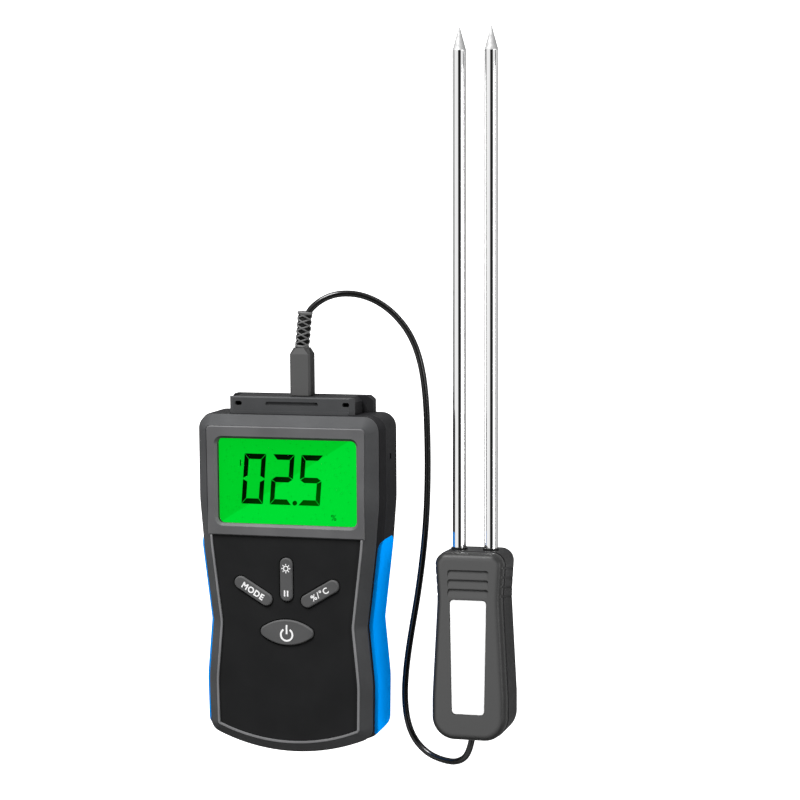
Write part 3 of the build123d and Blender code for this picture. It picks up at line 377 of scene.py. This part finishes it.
class Shape:
    """Points and faces gathered for one piece."""

    def __init__(self):
        self.points, self.faces = [], []

    def add(self, points, faces):
        base = len(self.points)
        self.points += [Vector(point) for point in points]
        self.faces += [tuple(base + index for index in face) for face in faces]

    def moved(self, matrix):
        self.points = [matrix @ point for point in self.points]

    def plate(self, outline, low, high):
        """Flat outline given a thickness between two heights."""
        count = len(outline)
        points = [(x, y, z) for z in (low, high) for x, y in outline]
        faces = [tuple(reversed(range(count))), tuple(range(count, 2 * count))]
        faces += [(i, (i + 1) % count, count + (i + 1) % count, count + i) for i in range(count)]
        self.add(points, faces)

    def turned(self, profile, segments=48):
        """Profile of (radius, along) turned about the Y axis."""
        rows = []
        for radius, along in profile:
            ring = [(radius * cos(2 * pi * k / segments), along, radius * sin(2 * pi * k / segments))
                    for k in range(segments)]
            rows.append(ring)
        self.rings(rows)

    def rings(self, rows):
        """Skin over rings with the same count of points, closed at both ends."""
        count = len(rows[0])
        points = [point for row in rows for point in row]
        faces = []
        for row in range(len(rows) - 1):
            for k in range(count):
                a, b = row * count + k, row * count + (k + 1) % count
                faces.append((a, b, b + count, a + count))
        faces.append(tuple(reversed(range(count))))
        faces.append(tuple(range((len(rows) - 1) * count, len(rows) * count)))
        self.add(points, faces)

    def tube(self, path, out, radius, flat, sides=8):
        """Round bar along a path, flattened along each point's outward direction."""
        rows = []
        for k, point in enumerate(path):
            ahead = Vector(path[min(k + 1, len(path) - 1)]) - Vector(path[max(k - 1, 0)])
            ahead.normalize()
            side = ahead.cross(out[k]).normalized()
            outward = side.cross(ahead)
            rows.append([Vector(point) + radius * (cos(a) * side + flat * sin(a) * outward)
                         for a in (2 * pi * j / sides for j in range(sides))])
        self.rings(rows)


# ---------------------------------------------------------------- lead

LEAD_DIAMETER = 0.0031
LEAD_ROUTE = [
    (0.0862, -0.0750, 0.0185), (0.0847, -0.0834, 0.0180), (0.0780, -0.0890, 0.0138),
    (0.0693, -0.0900, 0.0083), (0.0606, -0.0883, 0.0040), (0.0537, -0.0825, 0.0020),
    (0.0500, -0.0735, 0.0017), (0.0488, -0.0610, 0.0017), (0.0498, -0.0470, 0.0017),
    (0.0522, -0.0310, 0.0017), (0.0556, -0.0125, 0.0017), (0.0583, 0.0065, 0.0017),
    (0.0602, 0.0255, 0.0017), (0.0610, 0.0460, 0.0017), (0.0609, 0.0660, 0.0017),
    (0.0603, 0.0840, 0.0017), (0.0581, 0.1000, 0.0017), (0.0534, 0.1130, 0.0017),
    (0.0460, 0.1228, 0.0023), (0.0378, 0.1294, 0.0044), (0.0286, 0.1331, 0.0076),
    (0.0188, 0.1332, 0.0106), (0.0106, 0.1296, 0.0122), (0.0041, 0.1229, 0.0128),
    (0.0032, 0.1139, 0.0128),
]


def make_lead():
    data = bpy.data.curves.new("lead", "CURVE")
    data.dimensions = "3D"
    spline = data.splines.new("NURBS")
    spline.points.add(len(LEAD_ROUTE) - 1)
    for point, place in zip(spline.points, LEAD_ROUTE):
        point.co = (*place, 1.0)
    spline.order_u = 3
    spline.use_endpoint_u = True
    spline.resolution_u = 8
    data.bevel_depth = LEAD_DIAMETER / 2
    data.bevel_resolution = 6
    data.use_fill_caps = True
    data.materials.append(MATERIALS["cord_black"])
    lead = bpy.data.objects.new("lead", data)
    SCENE.collection.objects.link(lead)
    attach(lead, "probe")
    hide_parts("lead_cord")
    return lead


# ---------------------------------------------------------------- strain relief and plug

BOOT_LENGTH, BOOT_LEAN = 0.0172, radians(5.8)
BOOT_CORE, BOOT_OUTER, BOOT_RIDGE, BOOT_RIDGE_FLAT = 0.0031, 0.00355, 0.00042, 0.8
BOOT_FOOT, BOOT_CAP = 0.0012, 0.0014
LATTICE_LEAD, LATTICE_STARTS, LATTICE_STEPS = 0.0092, 3, 72


def boot_place():
    """Middle of the plug's upper end, turned along the strain relief."""
    low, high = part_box("plug_body")
    base = Vector(((low.x + high.x) / 2, high.y, (low.z + high.z) / 2))
    return Matrix.Translation(base) @ Matrix.Rotation(-BOOT_LEAN, 4, "Z")


def make_boot_core():
    """Sleeve seen between the ridges, darkened as painted shade in the hollows, bored for the lead at its
    end.
    """
    shape = Shape()
    end = BOOT_LENGTH - 0.0003
    shape.turned([(0.0, 0.0), (BOOT_CORE, 0.0), (BOOT_CORE, end), (LEAD_DIAMETER / 2, end),
                  (LEAD_DIAMETER / 2, end - 0.002), (0.0, end - 0.002)])
    shape.moved(boot_place())
    core = add_piece("boot_core", shape.points, shape.faces, "boot_dark", "probe")
    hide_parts("strain_relief")
    return core


def lattice_ridge(hand, turn):
    """Path of one ridge round the sleeve, with its outward directions."""
    start, end = BOOT_FOOT * 0.6, BOOT_LENGTH - BOOT_CAP + 0.0004
    path, out = [], []
    for step in range(LATTICE_STEPS + 1):
        along = start + (end - start) * step / LATTICE_STEPS
        angle = hand * 2 * pi * along / LATTICE_LEAD + turn
        radial = Vector((cos(angle), 0, sin(angle)))
        path.append(radial * (BOOT_OUTER - BOOT_RIDGE_FLAT * BOOT_RIDGE) + Vector((0, along, 0)))
        out.append(radial)
    return path, out


def make_boot_lattice():
    """Ridges that cross both ways between a foot ring and a cap ring."""
    shape = Shape()
    inner, foot, cap = BOOT_CORE - 0.0002, BOOT_FOOT, BOOT_LENGTH - BOOT_CAP
    shape.turned([(inner, 0.0), (0.0035, 0.0), (0.0034, foot * 0.6), (0.0032, foot), (inner, foot)])
    shape.turned([(inner, cap), (0.0034, cap), (0.0037, cap + 0.0004), (0.0037, BOOT_LENGTH - 0.0004),
                  (0.0034, BOOT_LENGTH), (0.0024, BOOT_LENGTH), (inner - 0.0006, BOOT_LENGTH - 0.0004)])
    for hand in (-1, 1):
        for k in range(LATTICE_STARTS):
            path, out = lattice_ridge(hand, 2 * pi * k / LATTICE_STARTS + pi / 2)
            shape.tube(path, out, BOOT_RIDGE, BOOT_RIDGE_FLAT)
    shape.moved(boot_place())
    lattice = add_piece("boot_lattice", shape.points, shape.faces, "boot_ridge", "probe")
    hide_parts("strain_relief")
    return lattice


# ---------------------------------------------------------------- display

DIGIT_HEIGHT, DIGIT_WIDTH, DIGIT_PITCH = 0.0240, 0.0107, 0.0141
DIGIT_SLANT = radians(4.8)
STROKE_ACROSS, STROKE_UP, STROKE_GAP = 0.0026, 0.0022, 0.00016
DIGIT_LEFT, DIGIT_LOW = -0.0232, 0.0343
DOT_RADIUS, DOT_ASIDE, DOT_UP = 0.00115, 0.0017, 0.0010
DIGIT_SUNK, DIGIT_PROUD = 0.00002, 0.00012
LIT = {"0": "abcdef", "2": "abged", "5": "afgcd"}
# Words, size and place of the small signs
SMALL_SIGNS = [("1", 0.0044, -0.0234, 0.0537), ("%", 0.0040, 0.0225, 0.0290)]


def segment(name):
    """Outline of one bar of a seven-bar digit, its lower left corner at the origin."""
    w, h, v, t, g = DIGIT_WIDTH, DIGIT_HEIGHT, STROKE_UP, STROKE_ACROSS, STROKE_GAP
    mid = h / 2
    bars = {
        "a": [(g, h), (w - g, h), (w - v - g, h - t), (v + g, h - t)],
        "d": [(v + g, t), (w - v - g, t), (w - g, 0), (g, 0)],
        "g": [(g * 2, mid), (v, mid + t / 2), (w - v, mid + t / 2),
              (w - 2 * g, mid), (w - v, mid - t / 2), (v, mid - t / 2)],
        "f": [(0, h - g), (v, h - t - g), (v, mid + t / 2 + g), (0, mid + 2 * g)],
        "e": [(0, mid - 2 * g), (v, mid - t / 2 - g), (v, t + g), (0, g)],
    }
    bars["b"] = [(w - x, y) for x, y in reversed(bars["f"])]
    bars["c"] = [(w - x, y) for x, y in reversed(bars["e"])]
    return bars[name]


def disc(x, y, radius, count=20):
    angles = [2 * pi * k / count for k in range(count)]
    return [(x + radius * cos(angle), y + radius * sin(angle)) for angle in angles]


def make_digits():
    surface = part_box("display_panel")[1].z
    ink_low, ink_high = surface - DIGIT_SUNK, surface + DIGIT_PROUD
    shape = Shape()
    for place, digit in enumerate("025"):
        for name in LIT[digit]:
            outline = [(x + place * DIGIT_PITCH, y) for x, y in segment(name)]
            shape.plate(outline, ink_low, ink_high)
    shape.plate(disc(2 * DIGIT_PITCH - DOT_ASIDE, DOT_UP, DOT_RADIUS), ink_low, ink_high)
    for point in shape.points:
        point.x += DIGIT_LEFT + point.y * tan(DIGIT_SLANT)
        point.y += DIGIT_LOW
    for words, size, x, y in SMALL_SIGNS:
        sign = text_shape(words, size, 0.0, ink_high - ink_low)
        sign.moved(Matrix.Translation((x, y, ink_low)))
        shape.add(sign.points, sign.faces)
    add_piece("display_digits", shape.points, shape.faces, "digit_ink", "meter", False)


def text_shape(words, size, weight, thick, spacing=1.0):
    """Plain lettering as a solid, centred on the origin."""
    curve = bpy.data.curves.new("words", "FONT")
    curve.body = words
    curve.size, curve.offset, curve.extrude = size, weight, thick / 2
    curve.align_x, curve.align_y = "CENTER", "CENTER"
    curve.space_character = spacing
    curve.resolution_u = 6
    holder = bpy.data.objects.new("words", curve)
    SCENE.collection.objects.link(holder)
    bpy.context.view_layer.update()
    data = bpy.data.meshes.new_from_object(holder.evaluated_get(bpy.context.evaluated_depsgraph_get()))
    shape = Shape()
    shape.add([vertex.co for vertex in data.vertices], [tuple(face.vertices) for face in data.polygons])
    low_x = min(point.x for point in shape.points)
    high_x = max(point.x for point in shape.points)
    low_y = min(point.y for point in shape.points)
    high_y = max(point.y for point in shape.points)
    shape.moved(Matrix.Translation((-(low_x + high_x) / 2, -(low_y + high_y) / 2, thick / 2)))
    bpy.data.objects.remove(holder)
    bpy.data.curves.remove(curve)
    bpy.data.meshes.remove(data)
    return shape


def key_place(node, turn):
    """Middle of a key's top, turned about its upright axis."""
    low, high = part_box(node)
    middle = Vector(((low.x + high.x) / 2, (low.y + high.y) / 2, high.z))
    return Matrix.Translation(middle) @ Matrix.Rotation(radians(turn), 4, "Z")


INK = 0.00004
SIDE_KEY_TURN, SIDE_LEGEND_SIZE = 31.0, 0.0040
# Key, turn, words, weight and spacing
SIDE_LEGENDS = (
    ("mode_key", -SIDE_KEY_TURN, "MODE", 0.00013, 1.12),
    ("range_key", SIDE_KEY_TURN, "%/°C", 0.00008, 1.2),
)


def add_legend(node, turn, shape):
    """White print on top of a key, moving with it."""
    shape.moved(key_place(node, turn))
    add_piece("legend_" + node, shape.points, shape.faces, "ink_white", node, False)


def make_legends():
    for node, turn, words, weight, spacing in SIDE_LEGENDS:
        add_legend(node, turn, text_shape(words, SIDE_LEGEND_SIZE, weight, INK, spacing))
    add_legend("light_key", 0, light_legend())
    add_legend("power_key", 0, power_legend())


def ring(x, y, outer, inner, start=0.0, end=360.0, count=40):
    """Outline of a ring's arc between two angles in degrees."""
    angles = [radians(start + (end - start) * k / count) for k in range(count + 1)]
    return ([(x + outer * cos(a), y + outer * sin(a)) for a in angles],
            [(x + inner * cos(a), y + inner * sin(a)) for a in angles])


def arc_plate(shape, outer, inner, low, high):
    """Solid arc between two edges of the same count."""
    rows = [[(a[0], a[1], low), (a[0], a[1], high), (b[0], b[1], high), (b[0], b[1], low)]
            for a, b in zip(outer, inner)]
    shape.rings(rows)


def bar_outline(x, y, length, width, turn=0.0):
    """Straight bar centred on a point, turned by an angle in degrees."""
    c, s = cos(radians(turn)), sin(radians(turn))
    half, side = length / 2, width / 2
    corners = [(-half, -side), (half, -side), (half, side), (-half, side)]
    return [(x + c * a - s * b, y + s * a + c * b) for a, b in corners]


SUN_Y, SUN_OUTER, SUN_INNER = 0.0054, 0.00135, 0.00090
SUN_RAYS, RAY_MIDDLE, RAY_LENGTH, RAY_WIDTH = 8, 0.00188, 0.0007, 0.00042
HOLD_Y, HOLD_ASIDE, HOLD_WIDTH, HOLD_HEIGHT = -0.0065, 0.00075, 0.0007, 0.0029
POWER_Y, POWER_OUTER, POWER_INNER, POWER_GAP = -0.0010, 0.0033, 0.00245, 64.0
POWER_BAR_Y, POWER_BAR_WIDTH, POWER_BAR_HEIGHT = 0.0015, 0.00085, 0.0044


def light_legend():
    """Sun over two short bars, for the backlight and for hold."""
    shape = Shape()
    arc_plate(shape, *ring(0, SUN_Y, SUN_OUTER, SUN_INNER), 0, INK)
    for k in range(SUN_RAYS):
        turn = 360.0 / SUN_RAYS * k
        x, y = RAY_MIDDLE * cos(radians(turn)), SUN_Y + RAY_MIDDLE * sin(radians(turn))
        shape.plate(bar_outline(x, y, RAY_LENGTH, RAY_WIDTH, turn), 0, INK)
    for x in (-HOLD_ASIDE, HOLD_ASIDE):
        shape.plate(bar_outline(x, HOLD_Y, HOLD_WIDTH, HOLD_HEIGHT), 0, INK)
    return shape


def power_legend():
    """Open ring with a bar in its gap."""
    shape = Shape()
    start, end = 90 + POWER_GAP / 2, 450 - POWER_GAP / 2
    arc_plate(shape, *ring(0, POWER_Y, POWER_OUTER, POWER_INNER, start, end), 0, INK)
    shape.plate(bar_outline(0, POWER_BAR_Y, POWER_BAR_WIDTH, POWER_BAR_HEIGHT), 0, INK)
    return shape


# ---------------------------------------------------------------- studio

FLOOR_HALF, FLOOR_DROP = 6.0, 0.0001
FLOOR_GLOW, FLOOR_GLOW_MIRRORED = 1.6, 0.12


def floor_material():
    """Pale floor that glows, and less so in reflections."""
    s = Shader("floor")
    tone = s.ramp(s.noise(3.0, 2.0), "Fac", [(0.3, grey(0.37)), (0.7, grey(0.38))])
    s.link(tone, "Color", s.bsdf, "Base Color")
    s.set(Roughness=0.9, Specular_IOR_Level=0.0, Emission_Color=(1, 1, 1, 1))
    rays = s.add("ShaderNodeLightPath")
    glow = s.spread(rays, "Is Glossy Ray", FLOOR_GLOW, FLOOR_GLOW_MIRRORED, 0.0, 1.0)
    s.link(glow, "Result", s.bsdf, "Emission Strength")
    return s.material


def make_floor():
    data = bpy.data.meshes.new("floor")
    corners = [(x * FLOOR_HALF, y * FLOOR_HALF, 0) for x, y in ((-1, -1), (1, -1), (1, 1), (-1, 1))]
    data.from_pydata(corners, [], [(0, 1, 2, 3)])
    data.materials.append(floor_material())
    floor = bpy.data.objects.new("floor", data)
    floor.location.z = -FLOOR_DROP
    SCENE.collection.objects.link(floor)


class Room(Nodes):
    """The world's node tree, which lights the object by direction and by kind of ray."""

    def __init__(self):
        world = bpy.data.worlds.new("studio")
        SCENE.world = world
        world.use_nodes = True
        super().__init__(world.node_tree)
        self.coords = self.add("ShaderNodeTexCoord")
        self.rays = self.add("ShaderNodeLightPath")

    def along(self, axis):
        return self.dot(self.coords, "Generated", axis), "Value"

    def maths(self, operation, *values):
        made = self.add("ShaderNodeMath", operation=operation)
        for place, (node, output) in enumerate(values):
            self.link(node, output, made, place)
        return made, "Value"

    def ranged(self, value, low, high, start, end, **settings):
        return self.spread(*value, low, high, start, end, **settings), "Result"

    def beyond(self, axis, back, start, end):
        """0 near the camera's direction, 1 further off along an axis, by its angle in degrees."""
        angle = self.maths("ABSOLUTE", self.maths("ARCTAN2", self.along(axis), self.along(back)))
        return self.ranged(angle, 0.0, 1.0, radians(start), radians(end), interpolation_type="SMOOTHSTEP")

    def by_ray(self, kind, for_others):
        """Mix that leaves its B value to rays of one kind."""
        made = self.add("ShaderNodeMix", data_type="FLOAT")
        self.link(self.rays, kind, made, "Factor")
        self.link(*for_others, made, "A")
        return made


# Degrees off the camera's direction, and above the horizon, at which dark gives way to white
STRIP_ACROSS, STRIP_UP, WALL_FOOT = (21.0, 24.0), (38.0, 46.0), (11.0, 16.0)
STRIP_GLOSS, ROOM_GLOSS, FOOT_GLOSS = 0.02, 1.1, 0.04
# Soft light from the side of -Y and of +Y, and the brightness of the room where it is seen directly
LIGHT_FROM_LOW_Y, LIGHT_FROM_HIGH_Y, ROOM_SEEN = 0.02, 0.3, 1.3


def make_world():
    """Room that is white in reflections but for a dark strip and foot, and lights more from +Y."""
    room = Room()
    right, up, back = camera_axes()
    lit = room.maths("MAXIMUM", room.beyond(right, back, *STRIP_ACROSS), room.beyond(up, back, *STRIP_UP))
    height = room.maths("ARCSINE", room.along((0.0, 0.0, 1.0)))
    walls = room.ranged(height, FOOT_GLOSS, 1.0, *(radians(angle) for angle in WALL_FOOT))
    gloss = room.maths("MULTIPLY", room.ranged(lit, STRIP_GLOSS, ROOM_GLOSS, 0.0, 1.0), walls)
    matt = room.ranged(room.along((0.0, 1.0, 0.0)), LIGHT_FROM_LOW_Y, LIGHT_FROM_HIGH_Y, -1.0, 1.0)
    level = room.by_ray("Is Glossy Ray", matt)
    room.link(*gloss, level, "B")
    shown = room.by_ray("Is Camera Ray", (level, "Result"))
    shown.inputs["B"].default_value = ROOM_SEEN
    background = room.add("ShaderNodeBackground")
    room.link(shown, "Result", background, "Strength")
    room.link(background, "Background", room.add("ShaderNodeOutputWorld"), "Surface")


LIGHT_TARGET = Vector((0.05, 0.05, 0.02))


def make_light(name, place, size, power):
    data = bpy.data.lights.new(name, "AREA")
    data.shape, data.size, data.size_y = "RECTANGLE", size[0], size[1]
    data.energy = power
    light = bpy.data.objects.new(name, data)
    back = (Vector(place) - LIGHT_TARGET).normalized()
    light.matrix_world = Matrix.Translation(place) @ back.to_track_quat("Z", "Y").to_matrix().to_4x4()
    SCENE.collection.objects.link(light)


def make_studio():
    SCENE.view_settings.view_transform = "Standard"
    make_floor()
    make_world()
    make_light("key_light", (-0.35, 1.12, 0.62), (0.6, 0.6), 30.0)
    make_light("side_fill", (1.15, 0.1, 0.55), (0.6, 0.4), 8.0)


# ---------------------------------------------------------------- build

make_camera()
MATERIALS = make_materials()
dress_nodes(MATERIALS)
lead = make_lead()
plug_pieces = [make_boot_core(), make_boot_lattice()]
plug_pieces += [NODES[name] for name in ("plug_body", "plug_sleeve", "plug_insulator", "plug_tip")]
make_digits()
make_legends()
make_studio()
